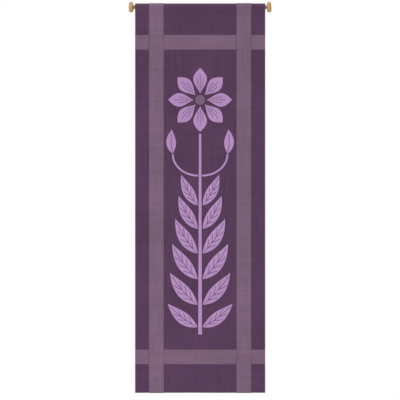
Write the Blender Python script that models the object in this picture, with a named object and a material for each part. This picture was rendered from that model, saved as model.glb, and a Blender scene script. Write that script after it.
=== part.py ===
"""Ceremonial banner on a wooden pole, at its real size, as it hangs.

Metres, +Z up. The front faces -Y. The origin is on the pole's axis, halfway along it.
"""

import math

import bmesh
import bpy

# Banner cloth
WIDTH = 0.610  # side to side
HEIGHT = 1.826  # top of the pole sleeve to the bottom fold
CLOTH = 0.0012  # thickness of the banner cloth
APPLIQUE = 0.0010  # thickness of the cloth that is sewn on its front
GAP = 0.0003  # between two pieces that touch
SEWN_GAP = 0.0004  # between the banner cloth and what is sewn on it

# Pole and its two end caps
POLE_RADIUS = 0.0159
SOCKET_RADIUS = 0.0063
SOCKET_DEPTH = 0.020
NECK_RADIUS = 0.0084
NECK_LENGTH = 0.0080  # pole end to the cap's inner face
COVE_RADIUS = 0.0030  # where the neck meets that face
CAP_RADIUS = 0.0253
CAP_THICKNESS = 0.0216
CAP_CROWN = 0.0007  # how far the cap's outer face swells
END_CHAMFER = 0.0008

# Pole sleeve and hems
SLEEVE_RADIUS = POLE_RADIUS + GAP + CLOTH  # outer
SLEEVE_SEAM_Z = -0.040  # stitching under the pole
SLEEVE_FLAP_Z = -0.052  # raw end of the cloth behind the seam
SEAM_BEND = 0.008  # cloth bends over this length at the seam
FOLD_RADIUS = GAP / 2 + CLOTH  # outer, of two layers lying together
BOTTOM_Z = SLEEVE_RADIUS - HEIGHT
HEM_FLAP_Z = BOTTOM_Z + 0.040
SIDE_HEM = 0.020
HEM_STEP = 0.0015  # the side hem's thickness comes in over this length
SIDE_HEM_TOP_Z = SLEEVE_FLAP_Z - GAP - HEM_STEP  # just below the sleeve's flap
SIDE_HEM_BOTTOM_Z = HEM_FLAP_Z + GAP + HEM_STEP  # just above the bottom hem's

# Soft vertical flutes of the hanging cloth: depth, length across, phase and turn for each metre of drop
FLUTES = (
    {"depth": 0.0021, "length": 0.330, "phase": 0.6, "turn": 0.5},
    {"depth": 0.0011, "length": 0.190, "phase": 2.1, "turn": -0.9},
)
FLUTE_DROP = 0.45  # the flutes reach half their depth this far down

# Sewn-on bands
BAND_WIDTH = 0.069
UPRIGHT_BAND_X = 0.205
CROSS_BANDS = {"upper": -0.165, "lower": -1.640}  # height of each band's middle
BAND_GAP = 0.0006  # between two bands that meet

# Sewn-on flower, stem and leaves
FLOWER_Z = -0.435
PETALS = 8
PETAL_ROOT = 0.030
PETAL_LENGTH = 0.120
PETAL_WIDTH = 0.064
PETAL_FULLEST = 1.25  # above 1 moves the widest place towards the tip, below 1 towards the root
FLOWER_EYE_RADIUS = 0.023
STEM_TOP_Z = -0.594
STEM_BOTTOM_Z = -1.535
STEM_TOP_WIDTH = 0.011
STEM_BOTTOM_WIDTH = 0.018
LEAF_CLEARANCE = 0.0025  # between a leaf's root and the stem
LEAF_STEPS = 12
# Pairs of leaves from the top down: height of the root, rise in degrees, length and width
LEAF_PAIRS = (
    {"z": -0.930, "rise": 50, "length": 0.165, "width": 0.052},
    {"z": -1.040, "rise": 48, "length": 0.180, "width": 0.056},
    {"z": -1.155, "rise": 45, "length": 0.195, "width": 0.060},
    {"z": -1.275, "rise": 42, "length": 0.205, "width": 0.063},
    {"z": -1.395, "rise": 37, "length": 0.200, "width": 0.062},
    {"z": -1.500, "rise": 26, "length": 0.180, "width": 0.056},
)
LEAF_BEND = 24  # degrees that a leaf's midrib turns towards upright
LEAF_FULLEST = 0.85
SHOOT_ROOT_Z = -0.790
SHOOT_REACH = 0.128
SHOOT_TOP_Z = -0.690
SHOOT_WIDTH = 0.009
SHOOT_STEPS = 8
BUD_LENGTH = 0.115
BUD_WIDTH = 0.046
BUD_LEAN = 76  # degrees above level
BUD_FULLEST = 0.9

# Fineness of the solids
COLUMN = 0.0235  # spacing of the mesh across the cloth
ROW = 0.121  # and down it
SLIVER = 0.001  # no column of mesh is narrower
ROUND_STEPS = 32  # round the pole and the caps
SLEEVE_STEPS = 8  # over the pole, on each side
BEND_STEPS = 4  # in the seam's bend, and in the cove behind a cap
FOLD_STEPS = 6  # in the bottom fold
RIM_STEPS = 12  # round a cap's edge
CRISP = 35  # edges sharper than this many degrees aren't shaded smooth
TOUCH = 1e-6  # points closer than this are one

# Colour and roughness of the four stuffs
COLOURS = {
    "banner_cloth": {"hex": "593F5A", "roughness": 0.85},
    "band_cloth": {"hex": "796075", "roughness": 0.80},
    "motif_cloth": {"hex": "AD88B8", "roughness": 0.70},
    "turned_wood": {"hex": "BE9767", "roughness": 0.45},
}


def linear(channel):
    """A channel of an sRGB colour, 0 to 255, as a linear value."""
    value = channel / 255
    return value / 12.92 if value <= 0.04045 else ((value + 0.055) / 1.055) ** 2.4


def make_material(name):
    """A plain material with the colour and roughness of one of the four stuffs."""
    look = COLOURS[name]
    rgb = [linear(int(look["hex"][i : i + 2], 16)) for i in (0, 2, 4)]
    material = bpy.data.materials.new(name)
    material.use_nodes = True
    shader = material.node_tree.nodes["Principled BSDF"]
    shader.inputs["Base Color"].default_value = (*rgb, 1.0)
    shader.inputs["Roughness"].default_value = look["roughness"]
    shader.inputs["Metallic"].default_value = 0.0
    return material


def add_object(name, bm, material):
    """Turns a bmesh into a named object under the banner's empty."""
    mesh = bpy.data.meshes.new(name)
    bm.to_mesh(mesh)
    bm.free()
    mesh.materials.append(material)
    mesh.shade_smooth()
    mesh.set_sharp_from_angle(angle=math.radians(CRISP))
    piece = bpy.data.objects.new(name, mesh)
    bpy.context.scene.collection.objects.link(piece)
    piece.parent = frame
    return piece


def evenly(start, end, step):
    """Values from start to end, both included, no further apart than step."""
    count = max(1, math.ceil(abs(end - start) / step - TOUCH))
    return [start + (end - start) * i / count for i in range(count + 1)]


def flutes(x, z):
    """How far the hanging cloth stands behind its flat plane."""
    drop = max(0.0, SLEEVE_FLAP_Z - z)
    depth = sum(
        f["depth"] * math.cos(2 * math.pi * x / f["length"] + f["phase"] + f["turn"] * drop)
        for f in FLUTES
    )
    return depth * drop / (drop + FLUTE_DROP)


def columns_between(left, right):
    """Mesh columns of the cloth from left to right, which all pieces share."""
    grid = evenly(-WIDTH / 2, WIDTH / 2, COLUMN)
    return [left] + [x for x in grid if left + SLIVER < x < right - SLIVER] + [right]


def panel_rows():
    """Mesh rows of the cloth from below the sleeve's bend to the top of the bottom hem."""
    hem_rows = [SLEEVE_FLAP_Z, SIDE_HEM_TOP_Z + HEM_STEP]
    hem_rows += evenly(SIDE_HEM_TOP_Z, SIDE_HEM_BOTTOM_Z, ROW)
    return hem_rows + [SIDE_HEM_BOTTOM_Z - HEM_STEP, HEM_FLAP_Z]


def arc(centre, radius, start, end, steps):
    """Points of an arc in the Y-Z plane, or in the X-R plane of a turned piece; angles in degrees."""
    angles = [math.radians(start + (end - start) * i / steps) for i in range(steps + 1)]
    return [(centre[0] + radius * math.cos(a), centre[1] + radius * math.sin(a)) for a in angles]


def soft_corner(before, corner, after):
    """Points of a soft bend at a corner, between two straight stretches."""
    points = []
    for i in range(BEND_STEPS + 1):
        t = i / BEND_STEPS
        a, b, c = (1 - t) ** 2, 2 * t * (1 - t), t * t
        points.append(tuple(a * p + b * q + c * r for p, q, r in zip(before, corner, after)))
    return points


def sleeve_front(lift):
    """The cloth's outer face from the top of the pole to below the seam, at the front."""
    radius = SLEEVE_RADIUS + lift
    seam = (-FOLD_RADIUS - lift, SLEEVE_SEAM_Z)
    away = math.hypot(*seam)
    tangent = math.degrees(math.atan2(seam[1], seam[0])) % 360 - math.degrees(math.acos(radius / away))
    around = arc((0, 0), radius, 90, tangent, SLEEVE_STEPS)
    leg = math.sqrt(away**2 - radius**2)
    share = SEAM_BEND / leg
    before = tuple(s + (t - s) * share for s, t in zip(seam, around[-1]))
    after = (seam[0], seam[1] - SEAM_BEND)
    return around + soft_corner(before, seam, after)


def outer_path(lift):
    """Points (y, z) down the cloth's outer face: back flap, over the pole, panel, and bottom hem."""
    front = sleeve_front(lift)
    back = [(-y, z) for y, z in reversed(front[1:])]
    side = FOLD_RADIUS + lift
    fold_z = BOTTOM_Z + FOLD_RADIUS
    panel = [(-side, z) for z in panel_rows()]
    fold = arc((0, fold_z), side, 180, 360, FOLD_STEPS)
    return [(side, SLEEVE_FLAP_Z)] + back + front + panel + fold + [(side, HEM_FLAP_Z)]


def give_thickness(piece, thickness, weights=None):
    """Solidify inwards from the outer face, by thickness times each vertex's weight if there are any."""
    solidify = piece.modifiers.new("thickness", "SOLIDIFY")
    solidify.thickness = thickness
    solidify.offset = -1.0
    solidify.use_even_offset = True
    if weights:
        group = piece.vertex_groups.new(name="layers")
        for index, weight in enumerate(weights):
            group.add([index], weight, "REPLACE")
        solidify.vertex_group = group.name
        solidify.thickness_vertex_group = 0.0


def face_forward(bm):
    """Turns a sheet's faces so that its outer side, which is the front below the pole, points out."""
    bmesh.ops.recalc_face_normals(bm, faces=bm.faces)
    on_panel = min(bm.faces, key=lambda f: abs(f.calc_center_median().z + HEIGHT / 2))
    on_panel.normal_update()
    if on_panel.normal.y > 0:
        bmesh.ops.reverse_faces(bm, faces=bm.faces)


def side_hem_weight(x, z):
    """Share of the double hem's thickness that the cloth has at a point: half, or all in a side hem."""
    into_hem = (abs(x) - (WIDTH / 2 - SIDE_HEM - HEM_STEP)) / HEM_STEP
    below_top = (SIDE_HEM_TOP_Z + HEM_STEP - z) / HEM_STEP
    above_bottom = (z - SIDE_HEM_BOTTOM_Z + HEM_STEP) / HEM_STEP
    inside = min(max(min(into_hem, below_top, above_bottom), 0.0), 1.0)
    return 0.5 + 0.5 * inside


def hung_sheet(name, columns, lift, material):
    """A sheet over the pole and down to the bottom hem, its outer face lift outside the cloth's."""
    bm = bmesh.new()
    chain = [bm.verts.new((columns[0], y, z)) for y, z in outer_path(lift)]
    edges = [bm.edges.new(pair) for pair in zip(chain, chain[1:])]
    for here, there in zip(columns, columns[1:]):
        swept = bmesh.ops.extrude_edge_only(bm, edges=edges)["geom"]
        moved = {v for v in swept if isinstance(v, bmesh.types.BMVert)}
        bmesh.ops.translate(bm, verts=list(moved), vec=(there - here, 0, 0))
        edges = [e for e in swept if isinstance(e, bmesh.types.BMEdge) and set(e.verts) <= moved]
    face_forward(bm)
    for vert in bm.verts:
        vert.co.y += flutes(vert.co.x, vert.co.z)
    return add_object(name, bm, material)


def make_banner_cloth(material):
    """One length of cloth: pole sleeve, panel with side hems, and bottom hem."""
    hem_edge = WIDTH / 2 - SIDE_HEM
    columns = columns_between(-WIDTH / 2, WIDTH / 2)
    columns = [x for x in columns if abs(abs(x) - hem_edge) > COLUMN / 3]
    columns += [side * (hem_edge - step) for side in (-1, 1) for step in (0.0, HEM_STEP)]
    cloth = hung_sheet("banner_cloth", sorted(columns), 0.0, material)
    weights = []
    for vert in cloth.data.vertices:
        x, y, z = vert.co
        in_front = y - flutes(x, z) < 0
        weights.append(side_hem_weight(x, z) if in_front else 0.5)
    give_thickness(cloth, 2 * CLOTH, weights)


def make_upright_band(name, middle, material):
    """A band sewn on before the sleeve and hem were turned, so it wraps round both."""
    columns = columns_between(middle - BAND_WIDTH / 2, middle + BAND_WIDTH / 2)
    band = hung_sheet(name, columns, SEWN_GAP + APPLIQUE, material)
    give_thickness(band, APPLIQUE)


def sew_flat(name, bm, material):
    """Lays a flat shape on the panel's front, cut along the cloth's own rows and columns."""
    for x in evenly(-WIDTH / 2, WIDTH / 2, COLUMN):
        cut_along(bm, (x, 0, 0), (1, 0, 0))
    for z in panel_rows():
        cut_along(bm, (0, 0, z), (0, 0, 1))
    face_forward(bm)
    for vert in bm.verts:
        vert.co.y = flutes(vert.co.x, vert.co.z) - FOLD_RADIUS - SEWN_GAP - APPLIQUE
    give_thickness(add_object(name, bm, material), APPLIQUE)


def cut_along(bm, point, normal):
    """Splits the faces of a flat shape where a plane crosses them."""
    parts = list(bm.verts) + list(bm.edges) + list(bm.faces)
    bmesh.ops.bisect_plane(bm, geom=parts, dist=TOUCH, plane_co=point, plane_no=normal)


def ladder(stations):
    """A flat shape from pairs of points (x, z), left and right; a pair may be one point."""
    bm = bmesh.new()
    rungs = []
    for left, right in stations:
        verts = [bm.verts.new((left[0], 0, left[1]))]
        if math.dist(left, right) > TOUCH:
            verts.append(bm.verts.new((right[0], 0, right[1])))
        rungs.append(verts)
    for lower, upper in zip(rungs, rungs[1:]):
        bm.faces.new(lower + upper[::-1])
    return bm


def blade_stations(root, heading, length, width, bend, fullest):
    """A pointed leaf or petal: its midrib turns by bend degrees, and fullest moves its widest place."""
    stations = []
    x, z = root
    for i in range(LEAF_STEPS + 1):
        t = i / LEAF_STEPS
        angle = math.radians(heading + bend * t)
        half = width / 2 * math.sin(math.pi * t**fullest) if 0 < i < LEAF_STEPS else 0.0
        across = (-math.sin(angle) * half, math.cos(angle) * half)
        stations.append(((x + across[0], z + across[1]), (x - across[0], z - across[1])))
        middle = math.radians(heading + bend * (t + 0.5 / LEAF_STEPS))
        x += length / LEAF_STEPS * math.cos(middle)
        z += length / LEAF_STEPS * math.sin(middle)
    return stations


def shoot_point(t, side, aside=0.0):
    """A point of a side shoot, from the stem at 0 to its bud at 1, and aside from its middle."""
    stem_clear = STEM_BOTTOM_WIDTH / 2
    reach, rise = SHOOT_REACH - stem_clear, SHOOT_TOP_Z - SHOOT_ROOT_Z
    turn = math.pi / 2 * t
    x = stem_clear + reach * math.sin(turn)
    z = SHOOT_ROOT_Z + rise * (1 - math.cos(turn))
    way = (reach * math.cos(turn), rise * math.sin(turn))
    x -= aside * way[1] / math.hypot(*way)
    z += aside * way[0] / math.hypot(*way)
    return (side * x, z)


def shoot_stations(side):
    """A side shoot: a strip of even width that leaves the stem level and ends upright."""
    steps = [i / SHOOT_STEPS for i in range(SHOOT_STEPS + 1)]
    return [
        (shoot_point(t, side, SHOOT_WIDTH / 2), shoot_point(t, side, -SHOOT_WIDTH / 2))
        for t in steps
    ]


def make_cross_bands(material):
    """Level bands, each in three lengths that meet the upright bands edge to edge."""
    inner = UPRIGHT_BAND_X - BAND_WIDTH / 2 - BAND_GAP
    outer = UPRIGHT_BAND_X + BAND_WIDTH / 2 + BAND_GAP
    edge = WIDTH / 2 - GAP
    spans = {"left": (-edge, -outer), "middle": (-inner, inner), "right": (outer, edge)}
    for level, height in CROSS_BANDS.items():
        low, high = height - BAND_WIDTH / 2, height + BAND_WIDTH / 2
        for part, (left, right) in spans.items():
            shape = ladder([((left, low), (right, low)), ((left, high), (right, high))])
            sew_flat(f"{level}_band_{part}", shape, material)


def make_flower(petal_material, eye_material):
    """Petals round an eye, each a piece of its own."""
    for number in range(PETALS):
        heading = 90 + 360 / PETALS * number
        turn = math.radians(heading)
        root = (PETAL_ROOT * math.cos(turn), FLOWER_Z + PETAL_ROOT * math.sin(turn))
        petal = blade_stations(root, heading, PETAL_LENGTH, PETAL_WIDTH, 0, PETAL_FULLEST)
        sew_flat(f"petal_{number + 1}", ladder(petal), petal_material)
    eye = bmesh.new()
    bmesh.ops.create_circle(eye, cap_ends=True, radius=FLOWER_EYE_RADIUS, segments=24)
    for vert in eye.verts:
        vert.co = (vert.co.x, 0, vert.co.y + FLOWER_Z)
    sew_flat("flower_eye", eye, eye_material)


def make_stem(material):
    """The upright stem, a little wider at its foot."""
    top, foot = STEM_TOP_WIDTH / 2, STEM_BOTTOM_WIDTH / 2
    stations = [((-foot, STEM_BOTTOM_Z), (foot, STEM_BOTTOM_Z)), ((-top, STEM_TOP_Z), (top, STEM_TOP_Z))]
    sew_flat("stem", ladder(stations), material)


def make_leaves(material):
    """Pairs of leaves up the stem, and a bud on a shoot at each side above them."""
    for side, label in ((-1, "left"), (1, "right")):
        for number, leaf in enumerate(LEAF_PAIRS, start=1):
            root = (side * (STEM_BOTTOM_WIDTH / 2 + LEAF_CLEARANCE), leaf["z"])
            heading = leaf["rise"] if side > 0 else 180 - leaf["rise"]
            blade = blade_stations(
                root, heading, leaf["length"], leaf["width"], side * LEAF_BEND, LEAF_FULLEST
            )
            sew_flat(f"leaf_{label}_{number}", ladder(blade), material)
        sew_flat(f"shoot_{label}", ladder(shoot_stations(side)), material)
        tip = shoot_point(1.0, side)
        heading = BUD_LEAN if side > 0 else 180 - BUD_LEAN
        root = (tip[0], tip[1] + LEAF_CLEARANCE)
        bud = blade_stations(root, heading, BUD_LENGTH, BUD_WIDTH, side * LEAF_BEND, BUD_FULLEST)
        sew_flat(f"bud_{label}", ladder(bud), material)


def turned(name, profile, material):
    """A piece turned about the X axis from points (x, radius), the first and last of them on it."""
    bm = bmesh.new()
    chain = [bm.verts.new((x, 0, radius)) for x, radius in profile]
    edges = [bm.edges.new(pair) for pair in zip(chain, chain[1:])]
    bmesh.ops.spin(
        bm,
        geom=chain + edges,
        cent=(0, 0, 0),
        axis=(1, 0, 0),
        angle=2 * math.pi,
        steps=ROUND_STEPS,
        use_merge=True,
    )
    bmesh.ops.remove_doubles(bm, verts=bm.verts, dist=TOUCH)
    bmesh.ops.recalc_face_normals(bm, faces=bm.faces)
    return add_object(name, bm, material)


def make_pole(material):
    """The pole, as long as the cloth is wide, with a socket in each end for a cap."""
    end = WIDTH / 2
    half = [
        (end - SOCKET_DEPTH, 0),
        (end - SOCKET_DEPTH, SOCKET_RADIUS),
        (end, SOCKET_RADIUS),
        (end, POLE_RADIUS - END_CHAMFER),
        (end - END_CHAMFER, POLE_RADIUS),
    ]
    mirrored = [(-x, radius) for x, radius in reversed(half)]
    turned("pole", half + mirrored, material)


def make_caps(material):
    """Two turned caps: a spigot in the pole's socket, a neck to hang the pole by, and a round-edged bun."""
    spigot = SOCKET_RADIUS - GAP
    rim = CAP_THICKNESS / 2
    rim_centre = (NECK_LENGTH + rim, CAP_RADIUS - rim)
    cove_centre = (NECK_LENGTH - COVE_RADIUS, NECK_RADIUS + COVE_RADIUS)
    face = rim_centre[0] + rim
    profile = [(GAP - SOCKET_DEPTH, 0), (GAP - SOCKET_DEPTH, spigot - END_CHAMFER)]
    profile += [(GAP - SOCKET_DEPTH + END_CHAMFER, spigot), (GAP, spigot), (GAP, NECK_RADIUS)]
    profile += arc(cove_centre, COVE_RADIUS, -90, 0, BEND_STEPS)
    profile += arc(rim_centre, rim, 180, 0, RIM_STEPS)
    profile += [(face + CAP_CROWN * (1 - share**2), rim_centre[1] * share) for share in (0.5, 0.0)]
    right = turned("cap_right", profile, material)
    right.location.x = WIDTH / 2
    left = bpy.data.objects.new("cap_left", right.data)
    bpy.context.scene.collection.objects.link(left)
    left.parent = frame
    left.location.x = -WIDTH / 2
    left.rotation_euler.z = math.pi


for old in list(bpy.data.objects):
    bpy.data.objects.remove(old)
frame = bpy.data.objects.new("banner_frame", None)
bpy.context.scene.collection.objects.link(frame)
stuff = {name: make_material(name) for name in COLOURS}

make_pole(stuff["turned_wood"])
make_caps(stuff["turned_wood"])
make_banner_cloth(stuff["banner_cloth"])
make_upright_band("upright_band_left", -UPRIGHT_BAND_X, stuff["band_cloth"])
make_upright_band("upright_band_right", UPRIGHT_BAND_X, stuff["band_cloth"])
make_cross_bands(stuff["band_cloth"])
make_flower(stuff["motif_cloth"], stuff["band_cloth"])
make_stem(stuff["motif_cloth"])
make_leaves(stuff["motif_cloth"])
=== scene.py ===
"""Looks of the ceremonial banner: woven cloth, sewn-on bands and motif, stitching and turned wood.

Metres, +Z up, in the CAD model's frame. The banner's front faces -Y.
"""

import math

import bmesh
import bpy
from mathutils import Matrix, Vector, noise


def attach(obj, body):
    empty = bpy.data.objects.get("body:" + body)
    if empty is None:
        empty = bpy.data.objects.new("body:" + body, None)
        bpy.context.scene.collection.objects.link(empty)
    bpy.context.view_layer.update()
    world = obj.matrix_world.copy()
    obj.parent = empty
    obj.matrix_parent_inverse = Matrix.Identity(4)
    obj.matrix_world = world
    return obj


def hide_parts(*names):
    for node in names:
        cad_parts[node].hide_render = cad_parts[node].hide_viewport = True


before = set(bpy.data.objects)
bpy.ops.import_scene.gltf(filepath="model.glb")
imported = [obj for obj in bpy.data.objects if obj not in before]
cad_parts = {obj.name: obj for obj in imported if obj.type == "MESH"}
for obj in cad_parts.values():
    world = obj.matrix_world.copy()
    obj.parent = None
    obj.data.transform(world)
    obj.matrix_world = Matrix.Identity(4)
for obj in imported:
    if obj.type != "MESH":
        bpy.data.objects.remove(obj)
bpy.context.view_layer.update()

# Sizes of the solids, repeated from the part's source
WIDTH = 0.610
HEIGHT = 1.826
CLOTH = 0.0012
APPLIQUE = 0.0010
GAP = 0.0003
SEWN_GAP = 0.0004
POLE_RADIUS = 0.0159
SOCKET_RADIUS = 0.0063
SOCKET_DEPTH = 0.020
NECK_RADIUS = 0.0084
NECK_LENGTH = 0.0080
COVE_RADIUS = 0.0030
CAP_RADIUS = 0.0253
CAP_THICKNESS = 0.0216
CAP_CROWN = 0.0007
SLEEVE_RADIUS = POLE_RADIUS + GAP + CLOTH
SLEEVE_SEAM_Z = -0.040
SLEEVE_FLAP_Z = -0.052
SEAM_BEND = 0.008
FOLD_RADIUS = GAP / 2 + CLOTH
BOTTOM_Z = SLEEVE_RADIUS - HEIGHT
HEM_FLAP_Z = BOTTOM_Z + 0.040
SIDE_HEM = 0.020
HEM_STEP = 0.0015
SIDE_HEM_TOP_Z = SLEEVE_FLAP_Z - GAP - HEM_STEP
SIDE_HEM_BOTTOM_Z = HEM_FLAP_Z + GAP + HEM_STEP
FLUTES = (
    {"depth": 0.0021, "length": 0.330, "phase": 0.6, "turn": 0.5},
    {"depth": 0.0011, "length": 0.190, "phase": 2.1, "turn": -0.9},
)
FLUTE_DROP = 0.45
BAND_WIDTH = 0.069
UPRIGHT_BAND_X = 0.205
CROSS_BANDS = {"upper": -0.165, "lower": -1.640}
BAND_GAP = 0.0006
FLOWER_Z = -0.435
PETALS = 8
PETAL = {"root": 0.030, "length": 0.120, "width": 0.064, "bend": 0, "fullest": 1.25}
FLOWER_EYE_RADIUS = 0.023
STEM = {"top": -0.594, "bottom": -1.535, "top_width": 0.011, "bottom_width": 0.018}
LEAF_CLEARANCE = 0.0025
LEAF_PAIRS = (
    {"z": -0.930, "rise": 50, "length": 0.165, "width": 0.052},
    {"z": -1.040, "rise": 48, "length": 0.180, "width": 0.056},
    {"z": -1.155, "rise": 45, "length": 0.195, "width": 0.060},
    {"z": -1.275, "rise": 42, "length": 0.205, "width": 0.063},
    {"z": -1.395, "rise": 37, "length": 0.200, "width": 0.062},
    {"z": -1.500, "rise": 26, "length": 0.180, "width": 0.056},
)
LEAF_BEND = 24
LEAF_FULLEST = 0.85
SHOOT = {"root": -0.790, "top": -0.690, "reach": 0.128, "width": 0.009}
BUD = {"length": 0.115, "width": 0.046, "lean": 76, "fullest": 0.9}

# Fineness of the meshes
COLUMN = 0.0055
ROW = 0.0075
PATCH_CELL = 0.008
BLADE_STEPS = 28
SHOOT_STEPS = 20
TURNED_STEPS = 96
EYE_CELLS = (48, 3)  # round the flower's eye, and out from its middle
ARC_STEPS = {"over pole": 16, "bottom fold": 8, "pole end": 6, "cove": 10, "cap rim": 36, "eye row": 40}
CROWN_RINGS = (0.8, 0.6, 0.4, 0.2, 0.0)  # shares of the radius of a cap's face
SHARP_ANGLE = 35  # degrees between two faces of wood, from which their edge stays sharp
CLOTH_EDGE_ANGLE = 60  # degrees between two faces of cloth, from which their edge is rounded
SAME = 1e-6  # sizes and places closer than this are the same

# Small unevenness that stitching gives the cloth
SEAM_PUCKER = 0.00035  # height of the ripples beside a hem's seam
SLEEVE_PUCKER = 1.6  # times that beside the sleeve's seam, which carries the cloth
BAND_PUCKER = 0.7  # times that beside a band
SEAM_REACH = 0.022  # they die away over this distance
RIPPLE_LENGTH = 0.019  # from one ripple to the next
SLACK = 0.0008  # height of the broad unevenness between seams
SLACK_LENGTH = 0.210
SEEDS = {"sleeve": 1.3, "slack": 3.7, "bottom hem": 5.9, "side hem": 8.1, "band": 12.4}  # none alike
EDGE_TURN = 0.0004  # radius of the cloth's turned edges

# Stitching: pitch along the row, and each stitch's length, width, rise and slant off the row in degrees
SEWING = {"pitch": 0.0036, "length": 0.0027, "width": 0.0006, "rise": 0.0003, "slant": 0}
EMBROIDERY = {"pitch": 0.0027, "length": 0.0058, "width": 0.0017, "rise": 0.0008, "slant": 24}
BAND_INSET = 0.0025  # from a band's edge to its row
MOTIF_INSET = 0.0022
HEM_INSET = 0.0030
TIP_ROOM = 1.8  # a row stops short of a tip, where half the width is less than this many insets

# Embroidered lines, in shares of a leaf's, bud's or petal's length and, across it, of its half width
LINE_STEP = 0.06
MIDRIB = (0.04, 0.90)
BUD_MIDRIB = (0.06, 0.80)
VEINS = {"starts": (0.16, 0.34, 0.52), "run": 0.19, "reach": 0.74, "steps": 6}
PETAL_LINES = {-0.42: (0.22, 0.60), 0.0: (0.10, 0.76), 0.42: (0.22, 0.60)}  # across it: start and end

# Pieces that others name
BANNER_PIECE = "woven_banner"
POLE_PIECE = "turned_pole"

# Finish of cloth and thread. The weave has its real pitch and shows only from near. The slubs, which are
# thicker stretches of thread, stand for it in the whole view, so they are drawn coarse enough to show there
SLUB = (0.150, 0.0075)  # length and width
TONE_PATCH = 0.260  # size of the dye's slow change of tone
TONE_RANGE = (1.1, 1.9)  # slubs and tone, added up, where the cloth is darkest and palest
WEAVE_DEPTH = 0.0002
WEAVE_PAINTED_SHADE = 0.25  # painted shade: how much darker the base colour is painted in the weave's hollows, beside the slubs
WEAVE_RELIEF = 0.5  # how far the weave stands out, beside the slubs
THREAD_TWIST = 0.0005
THREAD_CONTRAST = 0.14
WAVE_RATE = 10  # radians that the wave node turns in each unit, along its diagonal

# Finish of the wood
RING_WIDTH = 0.0024  # from one growth ring to the next
RING_STRAY = 0.0084  # how far a ring strays from round
STRAY_SIZE = (0.167, 0.025)  # over this length along the grain, and this width across it
LATE_WOOD = 0.27  # how far the late wood of each ring darkens the grain
LATE_WOOD_EDGE = 4.0  # the higher this is, the thinner its line
PORE = (0.012, 0.0006)  # length and width of a pore's streak
PORE_DEPTH = 0.0001
PITH = (0, -0.031, 0.046)  # the tree's heart, off the pole's axis
POLE_EASE = 0.0008
NECK_EASE = 0.0004

# Colours of the dyes and the wood; the cloth's surface haze lifts them to the photo's
PLUM = "543755"
MAUVE = "795E75"
LILAC = "B48CBF"
LINE_PLUM = "5F4263"
WOOD_TONES = ((0.12, "A47D4E"), (0.43, "BD9560"), (0.72, "CAA570"))  # from late wood to the palest grain
FLOOR_PALE = "F2F1F0"

# The photo's frame: the banner's middle lies a little to the right of its middle, and above it
PIXEL = WIDTH / 130.08  # size at the banner of one of the photo's 400 pixels
FRAME_WIDTH = 400 * PIXEL
BANNER_MIDDLE_X_PX = 0.16  # right of the frame's middle
BANNER_MIDDLE_Y_PX = 1.88  # above it
CAMERA_DISTANCE = 9.0
SURROUND_LIGHT = 0.48
LIGHTS = {
    "key": {"place": (-6.5, -6.0, 2.4), "size": 3.0, "power": 440},
    "fill": {"place": (5.5, -6.5, 1.2), "size": 3.5, "power": 85},
    "back": {"place": (4.5, 7.5, 2.2), "size": 3.5, "power": 300},
}
OVERHEAD = {"power": 0.9, "spread": 20}
FLOOR = {"z": -2.9, "solid": 1.5, "radius": 6.0, "sides": 96}  # its paint fades out between the two radii

# The mix node's sockets for colours, which share their names with those for numbers
FACTOR, DARKER, PALER, MIXED = 0, 6, 7, 2


# Shape of the hanging cloth


def flutes(x, z):
    """How far the hanging cloth stands behind its flat plane, as in the solids."""
    drop = max(0.0, SLEEVE_FLAP_Z - z)
    depth = sum(
        f["depth"] * math.cos(2 * math.pi * x / f["length"] + f["phase"] + f["turn"] * drop)
        for f in FLUTES
    )
    return depth * drop / (drop + FLUTE_DROP)


def ripple(along, across, seed):
    """Ripples beside a seam: along is the way along it, and across the distance from it."""
    height = noise.noise(Vector((along / RIPPLE_LENGTH, across / SEAM_REACH, seed)))
    return SEAM_PUCKER * height * math.exp(-abs(across) / SEAM_REACH)


def hang(x, z):
    """Flutes, seam ripples and broad slack of the cloth at a point, as a distance behind its plane."""
    drop = max(0.0, SLEEVE_FLAP_Z - z)
    free = min(1.0, drop / SEAM_REACH)
    slack = SLACK * noise.noise(Vector((x / SLACK_LENGTH, z / (2 * SLACK_LENGTH), SEEDS["slack"])))
    uneven = slack * min(1.0, drop / SLACK_LENGTH)
    uneven += SLEEVE_PUCKER * ripple(x, z - SLEEVE_FLAP_Z, SEEDS["sleeve"])
    uneven += ripple(x, z - HEM_FLAP_Z, SEEDS["bottom hem"])
    for side in (-1, 1):
        uneven += ripple(z, x - side * (WIDTH / 2 - SIDE_HEM), SEEDS["side hem"] + side)
        for edge in (-1, 1):
            seam = side * UPRIGHT_BAND_X + edge * BAND_WIDTH / 2
            uneven += BAND_PUCKER * ripple(z, x - seam, SEEDS["band"] + side + 3 * edge)
    return flutes(x, z) + free * uneven


def front(x, z, lift):
    """A point on the front of the hanging cloth, lift in front of the banner cloth's own face."""
    return Vector((x, hang(x, z) - FOLD_RADIUS - lift, z))


def evenly(start, end, step):
    """Values from start to end, both included, no further apart than step."""
    count = max(1, math.ceil(abs(end - start) / step - SAME))
    return [start + (end - start) * i / count for i in range(count + 1)]


def arc(centre, radius, start, end, steps):
    """Points of an arc in a plane; angles in degrees."""
    angles = [math.radians(start + (end - start) * i / steps) for i in range(steps + 1)]
    return [(centre[0] + radius * math.cos(a), centre[1] + radius * math.sin(a)) for a in angles]


def soft_corner(before, corner, after, steps=6):
    """Points of a soft bend at a corner, between two straight stretches."""
    points = []
    for i in range(steps + 1):
        t = i / steps
        a, b, c = (1 - t) ** 2, 2 * t * (1 - t), t * t
        points.append(tuple(a * p + b * q + c * r for p, q, r in zip(before, corner, after)))
    return points


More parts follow.
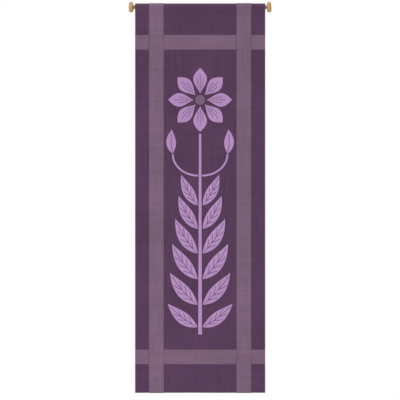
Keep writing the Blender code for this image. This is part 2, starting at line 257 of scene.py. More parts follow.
def sleeve_front(lift):
    """The cloth's outer face from the top of the pole to below the seam, at the front."""
    radius = SLEEVE_RADIUS + lift
    seam = (-FOLD_RADIUS - lift, SLEEVE_SEAM_Z)
    away = math.hypot(*seam)
    tangent = math.degrees(math.atan2(seam[1], seam[0])) % 360 - math.degrees(math.acos(radius / away))
    around = arc((0, 0), radius, 90, tangent, ARC_STEPS["over pole"])
    share = SEAM_BEND / math.sqrt(away**2 - radius**2)
    before = tuple(s + (t - s) * share for s, t in zip(seam, around[-1]))
    after = (seam[0], seam[1] - SEAM_BEND)
    return around + soft_corner(before, seam, after)


def panel_rows():
    """Mesh rows of the cloth from below the sleeve's bend to the top of the bottom hem."""
    rows = [SLEEVE_FLAP_Z, SIDE_HEM_TOP_Z + HEM_STEP] + evenly(SIDE_HEM_TOP_Z, SIDE_HEM_BOTTOM_Z, ROW)
    return rows + [SIDE_HEM_BOTTOM_Z - HEM_STEP, HEM_FLAP_Z]


def outer_path(lift):
    """Points (y, z) down the cloth's outer face: back flap, over the pole, panel, and bottom hem."""
    over = sleeve_front(lift)
    back = [(-y, z) for y, z in reversed(over[1:])]
    side = FOLD_RADIUS + lift
    panel = [(-side, z) for z in panel_rows()]
    panel += [(-side, z) for z in evenly(HEM_FLAP_Z, BOTTOM_Z + FOLD_RADIUS, ROW)[1:-1]]
    fold = arc((0, BOTTOM_Z + FOLD_RADIUS), side, 180, 360, ARC_STEPS["bottom fold"])
    flap = [(side, z) for z in evenly(BOTTOM_Z + FOLD_RADIUS, HEM_FLAP_Z, ROW)[1:]]
    return [(side, SLEEVE_FLAP_Z)] + back + over + panel + fold + flap


def side_hem_weight(x, z):
    """Share of the double hem's thickness that the cloth has at a point: half, or all in a side hem."""
    into_hem = (abs(x) - (WIDTH / 2 - SIDE_HEM - HEM_STEP)) / HEM_STEP
    below_top = (SIDE_HEM_TOP_Z + HEM_STEP - z) / HEM_STEP
    above_bottom = (z - SIDE_HEM_BOTTOM_Z + HEM_STEP) / HEM_STEP
    inside = min(max(min(into_hem, below_top, above_bottom), 0.0), 1.0)
    return 0.5 + 0.5 * inside


# Making pieces


def add_piece(name, bm, material, slot):
    """Turns a bmesh into a smooth-shaded piece that rides with the banner."""
    mesh = bpy.data.meshes.new(name)
    bm.to_mesh(mesh)
    bm.free()
    mesh.materials.append(material)
    mesh.shade_smooth()
    piece = bpy.data.objects.new(name, mesh)
    bpy.context.scene.collection.objects.link(piece)
    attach(piece, "root")
    return piece


def give_thickness(piece, thickness, weights=None):
    """Solidify inwards from the outer face and round the edges that this makes."""
    solidify = piece.modifiers.new("thickness", "SOLIDIFY")
    solidify.thickness = thickness
    solidify.offset = -1.0
    solidify.use_even_offset = True
    if weights:
        group = piece.vertex_groups.new(name="layers")
        for index, weight in enumerate(weights):
            group.add([index], weight, "REPLACE")
        solidify.vertex_group = group.name
        solidify.thickness_vertex_group = 0.0
    turn = piece.modifiers.new("turned edges", "BEVEL")
    turn.width = EDGE_TURN
    turn.segments = 2
    turn.limit_method = "ANGLE"
    turn.angle_limit = math.radians(CLOTH_EDGE_ANGLE)


def face_forward(bm):
    """Turns a sheet's faces so that its outer side, which is the front below the pole, points out."""
    bmesh.ops.recalc_face_normals(bm, faces=bm.faces)
    on_panel = min(bm.faces, key=lambda f: abs(f.calc_center_median().z + HEIGHT / 2))
    on_panel.normal_update()
    if on_panel.normal.y > 0:
        bmesh.ops.reverse_faces(bm, faces=bm.faces)


def cloth_grid(across, along, place, thread_place):
    """Cloth cells in a grid: u across and v along, from 0 to 1, give a point and its place in the weave."""
    bm = bmesh.new()
    threads = bm.loops.layers.uv.new("threads")
    bmesh.ops.create_grid(bm, x_segments=across, y_segments=along, size=0.5)
    for face in bm.faces:
        for loop in face.loops:
            u, v = loop.vert.co.xy
            loop[threads].uv = thread_place(u + 0.5, v + 0.5)
    for vert in bm.verts:
        u, v = vert.co.xy
        vert.co = place(u + 0.5, v + 0.5)
    bmesh.ops.remove_doubles(bm, verts=bm.verts, dist=SAME)
    face_forward(bm)
    return bm


def hung_sheet(name, columns, lift, material, slot):
    """A sheet over the pole and down to the bottom hem, its outer face lift outside the cloth's."""
    path = outer_path(lift)
    down = [0.0]
    for above, below in zip(path, path[1:]):
        down.append(down[-1] + math.dist(above, below))

    def place(u, v):
        x = columns[round(u * (len(columns) - 1))]
        y, z = path[round(v * (len(path) - 1))]
        return (x, y + hang(x, z), z)

    def thread_place(u, v):
        return (columns[round(u * (len(columns) - 1))], down[round(v * (len(path) - 1))])

    bm = cloth_grid(len(columns) - 1, len(path) - 1, place, thread_place)
    return add_piece(name, bm, material, slot), down[-1]


def cells(size):
    """How many cells of cloth go into a size."""
    return max(1, round(size / PATCH_CELL))


def sew_on(node, shape, grid, cloth):
    """Lays a cut shape on the banner's front; shape(u, v), both from 0 to 1, gives its flat points (x, z)."""
    def place(u, v):
        return front(*shape(u, v), SEWN_GAP + APPLIQUE)

    piece = add_piece(f"sewn_{node}", cloth_grid(*grid, place, shape), cloth["material"], cloth["slot"])
    give_thickness(piece, APPLIQUE)
    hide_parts(node)


# Leaves and petals


def blade(root, heading, length, width, bend, fullest):
    """Stations along a pointed leaf or petal: its middle, the way to its left and its half width."""
    stations = []
    x, z = root
    for i in range(BLADE_STEPS + 1):
        t = i / BLADE_STEPS
        angle = math.radians(heading + bend * t)
        half = width / 2 * math.sin(math.pi * t**fullest) if 0 < i < BLADE_STEPS else 0.0
        left = Vector((-math.sin(angle), math.cos(angle)))
        stations.append({"middle": Vector((x, z)), "left": left, "half": half})
        ahead = math.radians(heading + bend * (t + 0.5 / BLADE_STEPS))
        x += length / BLADE_STEPS * math.cos(ahead)
        z += length / BLADE_STEPS * math.sin(ahead)
    return stations


def blade_point(stations, t, share):
    """A point of a blade, t of the way to its tip and share of its half width to the left."""
    place = t * (len(stations) - 1)
    low = min(int(place), len(stations) - 2)
    here, there = stations[low], stations[low + 1]
    rest = place - low
    middle = here["middle"].lerp(there["middle"], rest)
    left = here["left"].lerp(there["left"], rest)
    half = here["half"] * (1 - rest) + there["half"] * rest
    return middle + left * half * share


def blade_pairs(stations, inset=0.0):
    """Left and right points of a blade, or of its outline moved in."""
    kept = [s for s in stations if s["half"] > TIP_ROOM * inset or inset == 0]
    return [
        (s["middle"] + s["left"] * (s["half"] - inset), s["middle"] - s["left"] * (s["half"] - inset))
        for s in kept
    ]


def blade_loop(stations, inset):
    """A closed line of points inside a blade's outline."""
    pairs = blade_pairs(stations, inset)
    loop = [left for left, right in pairs] + [right for left, right in reversed(pairs)]
    return loop + loop[:1]


def leaf_lines(stations):
    """The midrib and three pairs of side veins of a leaf."""
    lines = [[blade_point(stations, t, 0) for t in evenly(*MIDRIB, LINE_STEP)]]
    run, reach = VEINS["run"], VEINS["reach"]
    steps = evenly(0.0, 1.0, 1 / VEINS["steps"])
    for start in VEINS["starts"]:
        for side in (-1, 1):
            lines.append([blade_point(stations, start + run * s, side * reach * s) for s in steps])
    return lines


def petal_lines(stations):
    """Three lines that run out from near a petal's root, the outer two from where they come clear."""
    return [
        [blade_point(stations, t, share) for t in evenly(start, end, LINE_STEP)]
        for share, (start, end) in PETAL_LINES.items()
    ]


# Stitches and embroidered lines


def places_along(points, stitch, outward=None):
    """A place for each stitch along a line; with no outward, the line runs down the cloth's length."""
    places = []
    walked = stitch["pitch"] / 2
    slant = Matrix.Rotation(math.radians(stitch["slant"]), 3, "Z")
    for here, there in zip(points, points[1:]):
        way = there - here
        run = way.length
        way.normalize()
        out = outward or way.cross(Vector((1, 0, 0)))
        out = (out - way * out.dot(way)).normalized()
        turn = (Matrix((way, out.cross(way), out)).transposed() @ slant).to_4x4()
        while walked < run:
            places.append(Matrix.Translation(here + way * walked) @ turn)
            walked += stitch["pitch"]
        walked -= run
    return places


def places_on(rows, stitch, outward=None):
    """A place for each stitch of several lines."""
    return [place for row in rows for place in places_along(row, stitch, outward)]


def make_stitches(name, places, stitch, material, slot):
    """One joined piece with a stitch, a small half-sunk grain of thread, at each place."""
    grain = bmesh.new()
    bmesh.ops.create_uvsphere(grain, u_segments=6, v_segments=5, radius=0.5)
    bmesh.ops.rotate(grain, verts=grain.verts, matrix=Matrix.Rotation(math.pi / 2, 3, "Y"))
    size = (stitch["length"], stitch["width"], 2 * stitch["rise"])
    bmesh.ops.scale(grain, vec=size, verts=grain.verts)
    grain.verts.index_update()
    corners = [v.co.copy() for v in grain.verts]
    sides = [[v.index for v in f.verts] for f in grain.faces]
    grain.free()
    mesh = bpy.data.meshes.new(name)
    points = [place @ corner for place in places for corner in corners]
    starts = range(0, len(points), len(corners))
    mesh.from_pydata(points, [], [[start + i for i in side] for start in starts for side in sides])
    joined = bmesh.new()
    joined.from_mesh(mesh)
    bpy.data.meshes.remove(mesh)
    return add_piece(name, joined, material, slot)


# Materials


def linear(colour):
    """An sRGB hex colour as linear red, green, blue and alpha."""
    values = [int(colour[i : i + 2], 16) / 255 for i in (0, 2, 4)]
    return [v / 12.92 if v <= 0.04045 else ((v + 0.055) / 1.055) ** 2.4 for v in values] + [1.0]


def shade(colour, factor):
    """An sRGB hex colour as linear values, made darker or paler by a factor."""
    return [min(1.0, v * factor) for v in linear(colour)[:3]] + [1.0]


def add_node(tree, kind, inputs=None, **settings):
    """Adds a node with its settings, and sets or links its inputs."""
    node = tree.nodes.new(kind)
    for key, value in settings.items():
        setattr(node, key, value)
    for socket, value in (inputs or {}).items():
        if isinstance(value, bpy.types.NodeSocket):
            tree.links.new(value, node.inputs[socket])
        else:
            node.inputs[socket].default_value = value
    return node


def new_material(name, **constants):
    """A Principled material with constant values on its own sockets."""
    material = bpy.data.materials.new(name)
    material.use_nodes = True
    shader = material.node_tree.nodes["Principled BSDF"]
    for socket, value in constants.items():
        shader.inputs[socket.replace("_", " ")].default_value = value
    return material, material.node_tree, shader


def woven_cloth(name, colour, thread, contrast, **constants):
    """Plain-woven cloth: crossing threads with painted shade in their hollows, thicker slubs in both
    directions, and a slow change of tone.
    """
    material, tree, shader = new_material(name, **constants)
    threads = add_node(tree, "ShaderNodeUVMap", uv_map="threads").outputs["UV"]
    split = add_node(tree, "ShaderNodeSeparateXYZ", {0: threads})
    waves = []
    for way in ("X", "Y"):
        turns = add_node(
            tree, "ShaderNodeMath", {0: split.outputs[way], 1: math.pi / thread}, operation="MULTIPLY"
        )
        waves.append(add_node(tree, "ShaderNodeMath", {0: turns.outputs[0]}, operation="SINE"))
    weave = add_node(
        tree, "ShaderNodeMath", {0: waves[0].outputs[0], 1: waves[1].outputs[0]}, operation="MULTIPLY"
    )
    slubs = []
    for length, width in (SLUB, SLUB[::-1]):
        mapped = add_node(
            tree, "ShaderNodeMapping", {"Vector": threads, "Scale": (1 / length, 1 / width, 1)}
        )
        slub = add_node(
            tree, "ShaderNodeTexNoise", {"Vector": mapped.outputs[0], "Scale": 1.0, "Detail": 2.0}
        )
        slubs.append(slub.outputs[0])
    both = add_node(tree, "ShaderNodeMath", {0: slubs[0], 1: slubs[1]}, operation="ADD")
    tone = add_node(tree, "ShaderNodeTexNoise", {"Vector": threads, "Scale": 1 / TONE_PATCH, "Detail": 1.0})
    summed = add_node(tree, "ShaderNodeMath", {0: both.outputs[0], 1: tone.outputs[0]}, operation="ADD")
    # Painted shade: the base colour is made darker in the weave's hollows, where the bump below sinks
    tone_and_painted_shade = add_node(
        tree,
        "ShaderNodeMath",
        {0: weave.outputs[0], 1: WEAVE_PAINTED_SHADE, 2: summed.outputs[0]},
        operation="MULTIPLY_ADD",
    )
    darkest, palest = TONE_RANGE
    spread = add_node(
        tree,
        "ShaderNodeMapRange",
        {"Value": tone_and_painted_shade.outputs[0], "From Min": darkest, "From Max": palest, "To Min": 0.0, "To Max": 1.0},
    )
    mixed = add_node(
        tree,
        "ShaderNodeMix",
        {FACTOR: spread.outputs[0], DARKER: shade(colour, 1 - contrast), PALER: shade(colour, 1 + contrast)},
        data_type="RGBA",
    )
    tree.links.new(mixed.outputs[MIXED], shader.inputs["Base Color"])
    relief = add_node(
        tree,
        "ShaderNodeMath",
        {0: weave.outputs[0], 1: WEAVE_RELIEF, 2: both.outputs[0]},
        operation="MULTIPLY_ADD",
    )
    bump = add_node(
        tree, "ShaderNodeBump", {"Strength": 1.0, "Distance": WEAVE_DEPTH, "Height": relief.outputs[0]}
    )
    tree.links.new(bump.outputs[0], shader.inputs["Normal"])
    return material


def spun_thread(name, colour, **constants):
    """Spun sewing thread: fine twist across each stitch and a little change of tone between stitches."""
    material, tree, shader = new_material(name, **constants)
    place = add_node(tree, "ShaderNodeTexCoord").outputs["Object"]
    tone = add_node(
        tree, "ShaderNodeTexNoise", {"Vector": place, "Scale": 1 / SEWING["pitch"], "Detail": 1.0}
    )
    darker, paler = shade(colour, 1 - THREAD_CONTRAST), shade(colour, 1 + THREAD_CONTRAST)
    mixed = add_node(
        tree, "ShaderNodeMix", {FACTOR: tone.outputs[0], DARKER: darker, PALER: paler}, data_type="RGBA"
    )
    tree.links.new(mixed.outputs[MIXED], shader.inputs["Base Color"])
    twist = add_node(
        tree,
        "ShaderNodeTexWave",
        {"Vector": place, "Scale": math.pi / (WAVE_RATE * THREAD_TWIST), "Distortion": 0.4},
        bands_direction="DIAGONAL",
    )
    bump = add_node(
        tree, "ShaderNodeBump", {"Strength": 0.6, "Distance": THREAD_TWIST / 4, "Height": twist.outputs[1]}
    )
    tree.links.new(bump.outputs[0], shader.inputs["Normal"])
    return material


def varnished_wood(name, **constants):
    """Light wood turned along its grain: thin dark lines of late wood, and long fine pores between them."""
    material, tree, shader = new_material(name, **constants)
    place = add_node(tree, "ShaderNodeTexCoord").outputs["Object"]
    along, across = STRAY_SIZE
    stray = add_node(
        tree, "ShaderNodeMapping", {"Vector": place, "Scale": (1 / along, 1 / across, 1 / across)}
    )
    bend = add_node(tree, "ShaderNodeTexNoise", {"Vector": stray.outputs[0], "Scale": 1.0, "Detail": 2.0})
    from_pith = add_node(tree, "ShaderNodeMapping", {"Vector": place, "Location": PITH, "Scale": (0, 1, 1)})
    radius = add_node(tree, "ShaderNodeVectorMath", {0: from_pith.outputs[0]}, operation="LENGTH")
    wavy = add_node(
        tree,
        "ShaderNodeMath",
        {0: bend.outputs[0], 1: RING_STRAY, 2: radius.outputs["Value"]},
        operation="MULTIPLY_ADD",
    )
    turns = add_node(
        tree, "ShaderNodeMath", {0: wavy.outputs[0], 1: 2 * math.pi / RING_WIDTH}, operation="MULTIPLY"
    )
    wave = add_node(tree, "ShaderNodeMath", {0: turns.outputs[0]}, operation="SINE")
    ring = add_node(tree, "ShaderNodeMath", {0: wave.outputs[0], 1: 0.5, 2: 0.5}, operation="MULTIPLY_ADD")
    late = add_node(tree, "ShaderNodeMath", {0: ring.outputs[0], 1: LATE_WOOD_EDGE}, operation="POWER")
    long, wide = PORE
    streak = add_node(tree, "ShaderNodeMapping", {"Vector": place, "Scale": (1 / long, 1 / wide, 1 / wide)})
    pores = add_node(tree, "ShaderNodeTexNoise", {"Vector": streak.outputs[0], "Scale": 1.0, "Detail": 3.0})
    grain = add_node(
        tree,
        "ShaderNodeMath",
        {0: late.outputs[0], 1: -LATE_WOOD, 2: pores.outputs[0]},
        operation="MULTIPLY_ADD",
    )
    ramp = add_node(tree, "ShaderNodeValToRGB", {0: grain.outputs[0]})
    ramp.color_ramp.elements.new(0.5)
    for stop, (position, colour) in zip(ramp.color_ramp.elements, WOOD_TONES):
        stop.position = position
        stop.color = linear(colour)
    tree.links.new(ramp.outputs[0], shader.inputs["Base Color"])
    bump = add_node(
        tree, "ShaderNodeBump", {"Strength": 0.25, "Distance": PORE_DEPTH, "Height": pores.outputs[0]}
    )
    tree.links.new(bump.outputs[0], shader.inputs["Normal"])
    return material


# Pieces


def make_banner(material):
    """The banner cloth, with its sleeve and hems."""
    hem_edge = WIDTH / 2 - SIDE_HEM
    columns = evenly(-WIDTH / 2, WIDTH / 2, COLUMN)
    columns = [x for x in columns if abs(abs(x) - hem_edge) > COLUMN / 2]
    columns += [side * (hem_edge - step) for side in (-1, 1) for step in (0.0, HEM_STEP)]
    cloth, length = hung_sheet(BANNER_PIECE, sorted(columns), 0.0, material, "banner_cloth")
    weights = []
    for vert in cloth.data.vertices:
        x, y, z = vert.co
        on_panel = y - hang(x, z) < 0
        weights.append(side_hem_weight(x, z) if on_panel else 0.5)
    give_thickness(cloth, 2 * CLOTH, weights)
    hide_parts("banner_cloth")


def make_upright_bands(material):
    """Bands that wrap round the sleeve and the bottom hem."""
    for side, label in ((-1, "left"), (1, "right")):
        middle = side * UPRIGHT_BAND_X
        columns = evenly(middle - BAND_WIDTH / 2, middle + BAND_WIDTH / 2, COLUMN)
        lift = SEWN_GAP + APPLIQUE
        node = f"upright_band_{label}"
        band, length = hung_sheet(f"sewn_{node}", columns, lift, material, "band_cloth")
        give_thickness(band, APPLIQUE)
        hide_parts(node)


def cross_spans():
    """Left and right ends of a cross band's three lengths."""
    inner = UPRIGHT_BAND_X - BAND_WIDTH / 2 - BAND_GAP
    outer = UPRIGHT_BAND_X + BAND_WIDTH / 2 + BAND_GAP
    edge = WIDTH / 2 - GAP
    return {"left": (-edge, -outer), "middle": (-inner, inner), "right": (outer, edge)}


def make_cross_bands(cloth):
    """Level bands, each in three lengths."""
    for level, height in CROSS_BANDS.items():
        for part, (left, right) in cross_spans().items():
            def shape(u, v):
                return (left + (right - left) * u, height + BAND_WIDTH * (v - 0.5))

            grid = (cells(right - left), cells(BAND_WIDTH))
            sew_on(f"{level}_band_{part}", shape, grid, cloth)


def petal_blades():
    """The petals' stations, by node name."""
    blades = {}
    for number in range(PETALS):
        heading = 90 + 360 / PETALS * number
        turn = math.radians(heading)
        root = (PETAL["root"] * math.cos(turn), FLOWER_Z + PETAL["root"] * math.sin(turn))
        blades[f"petal_{number + 1}"] = blade(
            root, heading, PETAL["length"], PETAL["width"], PETAL["bend"], PETAL["fullest"]
        )
    return blades


def leaf_blades():
    """The leaves' stations, by node name."""
    blades = {}
    for side, label in ((-1, "left"), (1, "right")):
        for number, leaf in enumerate(LEAF_PAIRS, start=1):
            root = (side * (STEM["bottom_width"] / 2 + LEAF_CLEARANCE), leaf["z"])
            heading = leaf["rise"] if side > 0 else 180 - leaf["rise"]
            blades[f"leaf_{label}_{number}"] = blade(
                root, heading, leaf["length"], leaf["width"], side * LEAF_BEND, LEAF_FULLEST
            )
    return blades


def bud_blades():
    """The buds' stations, by node name."""
    blades = {}
    for side, label in ((-1, "left"), (1, "right")):
        tip = shoot_point(1.0, side)
        heading = BUD["lean"] if side > 0 else 180 - BUD["lean"]
        root = (tip[0], tip[1] + LEAF_CLEARANCE)
        blades[f"bud_{label}"] = blade(
            root, heading, BUD["length"], BUD["width"], side * LEAF_BEND, BUD["fullest"]
        )
    return blades


def shoot_point(t, side, aside=0.0):
    """A point of a side shoot, from the stem at 0 to its bud at 1, and aside from its middle."""
    stem_clear = STEM["bottom_width"] / 2
    reach, rise = SHOOT["reach"] - stem_clear, SHOOT["top"] - SHOOT["root"]
    turn = math.pi / 2 * t
    way = Vector((reach * math.cos(turn), rise * math.sin(turn))).normalized()
    x = stem_clear + reach * math.sin(turn) - aside * way.y
    z = SHOOT["root"] + rise * (1 - math.cos(turn)) + aside * way.x
    return Vector((side * x, z))


def shoot_pairs(side, inset):
    """Left and right points inside a side shoot's edges."""
    aside = SHOOT["width"] / 2 - inset
    steps = [i / SHOOT_STEPS for i in range(SHOOT_STEPS + 1)]
    return [(shoot_point(t, side, aside), shoot_point(t, side, -aside)) for t in steps]


def stem_pairs(inset):
    """Left and right points inside the stem's edges, at its foot and its top."""
    ends = ((STEM["bottom"], STEM["bottom_width"]), (STEM["top"], STEM["top_width"]))
    return [(Vector((inset - w / 2, z)), Vector((w / 2 - inset, z))) for z, w in ends]


def make_motif(lilac, mauve):
    """Petals, eye, stem, leaves, shoots and buds, each cut out and sewn on."""
    blades = {**petal_blades(), **leaf_blades(), **bud_blades()}
    for node, stations in blades.items():
        width = 2 * max(s["half"] for s in stations)
        length = sum((b["middle"] - a["middle"]).length for a, b in zip(stations, stations[1:]))

        def shape(u, v):
            return blade_point(stations, v, 1 - 2 * u)

        sew_on(node, shape, (cells(width), BLADE_STEPS), lilac)
    for side, label in ((-1, "left"), (1, "right")):
        def shape(u, v):
            return shoot_point(v, side, SHOOT["width"] * (0.5 - u))

        sew_on(f"shoot_{label}", shape, (2, SHOOT_STEPS), lilac)

    def stem_shape(u, v):
        width = STEM["bottom_width"] * (1 - v) + STEM["top_width"] * v
        return (width * (u - 0.5), STEM["bottom"] + (STEM["top"] - STEM["bottom"]) * v)

    length = STEM["top"] - STEM["bottom"]
    sew_on("stem", stem_shape, (2, cells(length)), lilac)

    def eye_shape(u, v):
        turn = 2 * math.pi * u
        return (FLOWER_EYE_RADIUS * v * math.cos(turn), FLOWER_Z + FLOWER_EYE_RADIUS * v * math.sin(turn))

    sew_on("flower_eye", eye_shape, EYE_CELLS, mauve)


def embroidery_rows():
    """The middle lines and veins of the petals, leaves and buds, as flat points."""
    rows = [line for stations in petal_blades().values() for line in petal_lines(stations)]
    rows += [line for stations in leaf_blades().values() for line in leaf_lines(stations)]
    for stations in bud_blades().values():
        rows.append([blade_point(stations, t, 0) for t in evenly(*BUD_MIDRIB, LINE_STEP)])
    return rows


def on_front(points, lift):
    """Flat points (x, z) as places on the hanging cloth, close enough together to follow it."""
    placed = []
    for here, there in zip(points, points[1:]):
        count = max(1, math.ceil((there - here).length / PATCH_CELL))
        placed += [here.lerp(there, i / count) for i in range(count)]
    placed.append(points[-1])
    return [front(p.x, p.y, lift) for p in placed]


def motif_rows():
    """Lines of stitching, as flat points, just inside the edge of each lilac piece."""
    blades = {**petal_blades(), **leaf_blades(), **bud_blades()}
    rows = [blade_loop(stations, MOTIF_INSET) for stations in blades.values()]
    shapes = [stem_pairs(MOTIF_INSET), shoot_pairs(-1, MOTIF_INSET), shoot_pairs(1, MOTIF_INSET)]
    for pairs in shapes:
        rows.append([left for left, right in pairs])
        rows.append([right for left, right in pairs])
    return rows


def eye_row():
    """The line of stitching round the flower's eye."""
    ring = arc((0, FLOWER_Z), FLOWER_EYE_RADIUS - MOTIF_INSET, 0, 360, ARC_STEPS["eye row"])
    return [Vector(point) for point in ring]


def cross_rows():
    """Lines of stitching along the cross bands' long edges."""
    rows = []
    for height in CROSS_BANDS.values():
        for left, right in cross_spans().values():
            for side in (-1, 1):
                z = height + side * (BAND_WIDTH / 2 - BAND_INSET)
                rows.append([Vector((left + BAND_INSET, z)), Vector((right - BAND_INSET, z))])
    return rows


def upright_rows():
    """Lines of stitching along the upright bands, right round the sleeve and the hem."""
    rows = []
    for side in (-1, 1):
        for edge in (-1, 1):
            x = side * UPRIGHT_BAND_X + edge * (BAND_WIDTH / 2 - BAND_INSET)
            path = outer_path(SEWN_GAP + APPLIQUE)
            rows.append([Vector((x, y + hang(x, z), z)) for y, z in path])
    return rows


def hem_rows(back):
    """Lines of stitching of the sleeve, side hems and bottom hem, on the front or the back."""
    rows = []
    steps = evenly(-WIDTH / 2 + HEM_INSET, WIDTH / 2 - HEM_INSET, PATCH_CELL)
    for z in (SLEEVE_FLAP_Z + HEM_INSET, HEM_FLAP_Z - HEM_INSET):
        y = FOLD_RADIUS if back else -FOLD_RADIUS
        rows.append([Vector((x, y + hang(x, z), z)) for x in steps])
    y = 2 * CLOTH - FOLD_RADIUS if back else -FOLD_RADIUS
    for side in (-1, 1):
        x = side * (WIDTH / 2 - SIDE_HEM + HEM_INSET)
        steps = evenly(SIDE_HEM_TOP_Z - HEM_INSET, SIDE_HEM_BOTTOM_Z + HEM_INSET, PATCH_CELL)
        rows.append([Vector((x, y + hang(x, z), z)) for z in steps])
    return rows


def sew(threads):
    """Every row of stitches, in the thread of the cloth that it holds, and the embroidered lines."""
    forward = Vector((0, -1, 0))
    face = SEWN_GAP + APPLIQUE
    hems = places_on(hem_rows(False), SEWING, forward) + places_on(hem_rows(True), SEWING, -forward)
    make_stitches("hem_stitches", hems, SEWING, threads["plum"], "banner_cloth")
    flat_rows = [*cross_rows(), eye_row()]
    bands = places_on(upright_rows(), SEWING)
    bands += places_on([on_front(row, face) for row in flat_rows], SEWING, forward)
    make_stitches("band_stitches", bands, SEWING, threads["mauve"], "band_cloth")
    motif = places_on([on_front(row, face) for row in motif_rows()], SEWING, forward)
    make_stitches("motif_stitches", motif, SEWING, threads["lilac"], "motif_cloth")
    flat_rows += motif_rows()
    back = places_on([on_front(row, -CLOTH) for row in flat_rows], SEWING, -forward)
    make_stitches("back_stitches", back, SEWING, threads["plum"], "banner_cloth")
    lines = places_on([on_front(row, face) for row in embroidery_rows()], EMBROIDERY, forward)
    make_stitches("embroidered_lines", lines, EMBROIDERY, threads["dark plum"], "motif_cloth")


def turned(name, profile, middle_x, node, material):
    """A piece turned about the X axis from points (x, radius), the first and last of them on it."""
    bm = bmesh.new()
    chain = [bm.verts.new((x, 0, radius)) for x, radius in profile]
    edges = [bm.edges.new(pair) for pair in zip(chain, chain[1:])]
    bmesh.ops.spin(
        bm,
        geom=chain + edges,
        cent=(0, 0, 0),
        axis=(1, 0, 0),
        angle=2 * math.pi,
        steps=TURNED_STEPS,
        use_merge=True,
    )
    bmesh.ops.remove_doubles(bm, verts=bm.verts, dist=SAME)
    if middle_x < 0:
        bmesh.ops.rotate(bm, cent=(0, 0, 0), matrix=Matrix.Rotation(math.pi, 3, "Z"), verts=bm.verts)
    bmesh.ops.translate(bm, vec=(middle_x, 0, 0), verts=bm.verts)
    bmesh.ops.recalc_face_normals(bm, faces=bm.faces)
    piece = add_piece(name, bm, material, "turned_wood")
    piece.data.set_sharp_from_angle(angle=math.radians(SHARP_ANGLE))
    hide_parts(node)
    return piece


def make_pole(material):
    """The pole, as long as the cloth is wide, its ends eased by hand."""
    end = WIDTH / 2
    half = [(end - SOCKET_DEPTH, 0), (end - SOCKET_DEPTH, SOCKET_RADIUS), (end, SOCKET_RADIUS)]
    eased = arc((POLE_RADIUS - POLE_EASE, end - POLE_EASE), POLE_EASE, 90, 0, ARC_STEPS["pole end"])
    half += [(x, radius) for radius, x in eased]
    mirrored = [(-x, radius) for x, radius in reversed(half)]
    turned(POLE_PIECE, half + mirrored, 0.0, "pole", material)


def make_caps(material):
    """Two turned caps: a spigot in the pole's socket, a neck to hang the pole by, and a round-edged bun."""
    spigot = SOCKET_RADIUS - GAP
    rim = CAP_THICKNESS / 2
    rim_centre = (NECK_LENGTH + rim, CAP_RADIUS - rim)
    cove_centre = (NECK_LENGTH - COVE_RADIUS, NECK_RADIUS + COVE_RADIUS)
    face = rim_centre[0] + rim
    profile = [(GAP - SOCKET_DEPTH, 0), (GAP - SOCKET_DEPTH, spigot), (GAP, spigot)]
    profile += [(GAP, NECK_RADIUS - NECK_EASE), (GAP + NECK_EASE, NECK_RADIUS)]
    profile += arc(cove_centre, COVE_RADIUS, -90, 0, ARC_STEPS["cove"])
    profile += arc(rim_centre, rim, 180, 0, ARC_STEPS["cap rim"])
    for share in CROWN_RINGS:
        profile.append((face + CAP_CROWN * (1 - share**2), rim_centre[1] * share))
    turned("turned_cap_right", profile, WIDTH / 2, "cap_right", material)
    turned("turned_cap_left", profile, -WIDTH / 2, "cap_left", material)


# Studio


def add_lamp(name, kind, place, aim, power, **settings):
    """A soft lamp that faces a point and stays out of the picture itself."""
    lamp = bpy.data.lights.new(name, kind)
    lamp.energy = power
    for key, value in settings.items():
        setattr(lamp, key, value)
    light = bpy.data.objects.new(name, lamp)
    bpy.context.scene.collection.objects.link(light)
    light.location = place
    light.rotation_euler = (Vector(aim) - Vector(place)).to_track_quat("-Z", "Y").to_euler()
    light.visible_camera = False


def make_floor():
    """A plain pale round floor well below the banner, outside the frame of the front view."""
    bm = bmesh.new()
    bmesh.ops.create_circle(bm, cap_ends=True, radius=FLOOR["radius"], segments=FLOOR["sides"])
    bmesh.ops.translate(bm, vec=(0, 0, FLOOR["z"]), verts=bm.verts)
    mesh = bpy.data.meshes.new("studio_floor")
    bm.to_mesh(mesh)
    bm.free()
    # Matt paint: it takes a soft shadow, and fades into the white surroundings at its edge
    material, tree, shader = new_material("matt floor paint", Roughness=0.9)
    shader.inputs["Base Color"].default_value = linear(FLOOR_PALE)
    place = add_node(tree, "ShaderNodeTexCoord").outputs["Object"]
    level = add_node(tree, "ShaderNodeMapping", {"Vector": place, "Scale": (1, 1, 0)})
    radius = add_node(tree, "ShaderNodeVectorMath", {0: level.outputs[0]}, operation="LENGTH")
    fade = add_node(
        tree,
        "ShaderNodeMapRange",
        {
            "Value": radius.outputs["Value"],
            "From Min": FLOOR["solid"],
            "From Max": FLOOR["radius"],
            "To Min": 1.0,
            "To Max": 0.0,
        },
        interpolation_type="SMOOTHSTEP",
    )
    tree.links.new(fade.outputs[0], shader.inputs["Alpha"])
    mesh.materials.append(material)
    floor = bpy.data.objects.new("studio_floor", mesh)
    bpy.context.scene.collection.objects.link(floor)


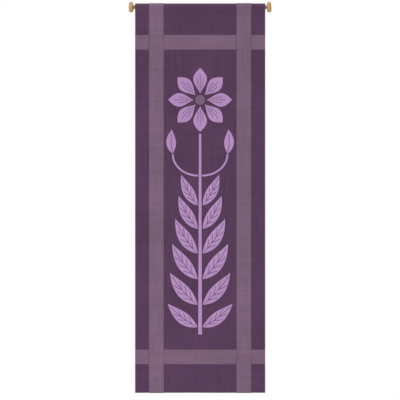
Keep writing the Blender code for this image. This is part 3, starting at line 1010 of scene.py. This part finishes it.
def make_studio():
    """White surroundings, soft lights, and a long lens square to the banner."""
    scene = bpy.context.scene
    scene.view_settings.view_transform = "Standard"
    world = bpy.data.worlds.new("studio")
    scene.world = world
    world.use_nodes = True
    tree = world.node_tree
    tree.nodes.clear()
    path = add_node(tree, "ShaderNodeLightPath")
    glow = add_node(tree, "ShaderNodeBackground", {"Color": (1, 1, 1, 1), "Strength": SURROUND_LIGHT})
    white = add_node(tree, "ShaderNodeBackground", {"Color": (1, 1, 1, 1), "Strength": 1.0})
    seen = add_node(
        tree,
        "ShaderNodeMixShader",
        {0: path.outputs["Is Camera Ray"], 1: glow.outputs[0], 2: white.outputs[0]},
    )
    add_node(tree, "ShaderNodeOutputWorld", {"Surface": seen.outputs[0]})
    middle = (0, 0, SLEEVE_RADIUS - HEIGHT / 2)
    for name, light in LIGHTS.items():
        add_lamp(name, "AREA", light["place"], middle, light["power"], shape="SQUARE", size=light["size"])
    above = (0, 0, CAMERA_DISTANCE)
    add_lamp("overhead", "SUN", above, middle, OVERHEAD["power"], angle=math.radians(OVERHEAD["spread"]))
    lens = bpy.data.cameras.new("long lens")
    lens.lens = lens.sensor_width * CAMERA_DISTANCE / FRAME_WIDTH
    lens.clip_end = 10 * CAMERA_DISTANCE
    camera = bpy.data.objects.new("camera", lens)
    scene.collection.objects.link(camera)
    camera.location = (
        -BANNER_MIDDLE_X_PX * PIXEL,
        -CAMERA_DISTANCE,
        middle[2] - BANNER_MIDDLE_Y_PX * PIXEL,
    )
    camera.rotation_euler = (math.pi / 2, 0, 0)
    scene.camera = camera


make_studio()
make_floor()

# Plain-woven, dyed in the piece and unpressed: matt, with uneven threads both ways
cloth = {"Roughness": 0.85, "Specular_IOR_Level": 0.25, "Sheen_Weight": 0.08, "Sheen_Roughness": 0.5}
plum_cloth = woven_cloth("plum plain-woven banner cloth", PLUM, thread=0.0011, contrast=0.18, **cloth)
mauve_cloth = woven_cloth("mauve plain-woven band cloth", MAUVE, thread=0.0010, contrast=0.15, **cloth)
# Finer and smoother, so that it catches a little more light
lilac_cloth = woven_cloth(
    "lilac fine-woven cloth",
    LILAC,
    thread=0.0008,
    contrast=0.08,
    Roughness=0.70,
    Specular_IOR_Level=0.30,
    Sheen_Weight=0.12,
)
# Spun thread: a soft gleam along each stitch
spun = {"Roughness": 0.60, "Specular_IOR_Level": 0.30, "Sheen_Weight": 0.15}
threads = {
    "plum": spun_thread("plum sewing thread", PLUM, **spun),
    "mauve": spun_thread("mauve sewing thread", MAUVE, **spun),
    "lilac": spun_thread("lilac sewing thread", LILAC, **spun),
    "dark plum": spun_thread("dark plum embroidery thread", LINE_PLUM, **spun),
}
# Turned and sanded beech under satin varnish: clear grain below a soft highlight
wood = varnished_wood("varnished turned beech", Roughness=0.42, Coat_Weight=0.25, Coat_Roughness=0.20)

make_pole(wood)
make_caps(wood)
sew(threads)
make_banner(plum_cloth)
make_upright_bands(mauve_cloth)
make_cross_bands({"material": mauve_cloth, "slot": "band_cloth"})
make_motif(
    {"material": lilac_cloth, "slot": "motif_cloth"},
    {"material": mauve_cloth, "slot": "band_cloth"},
)
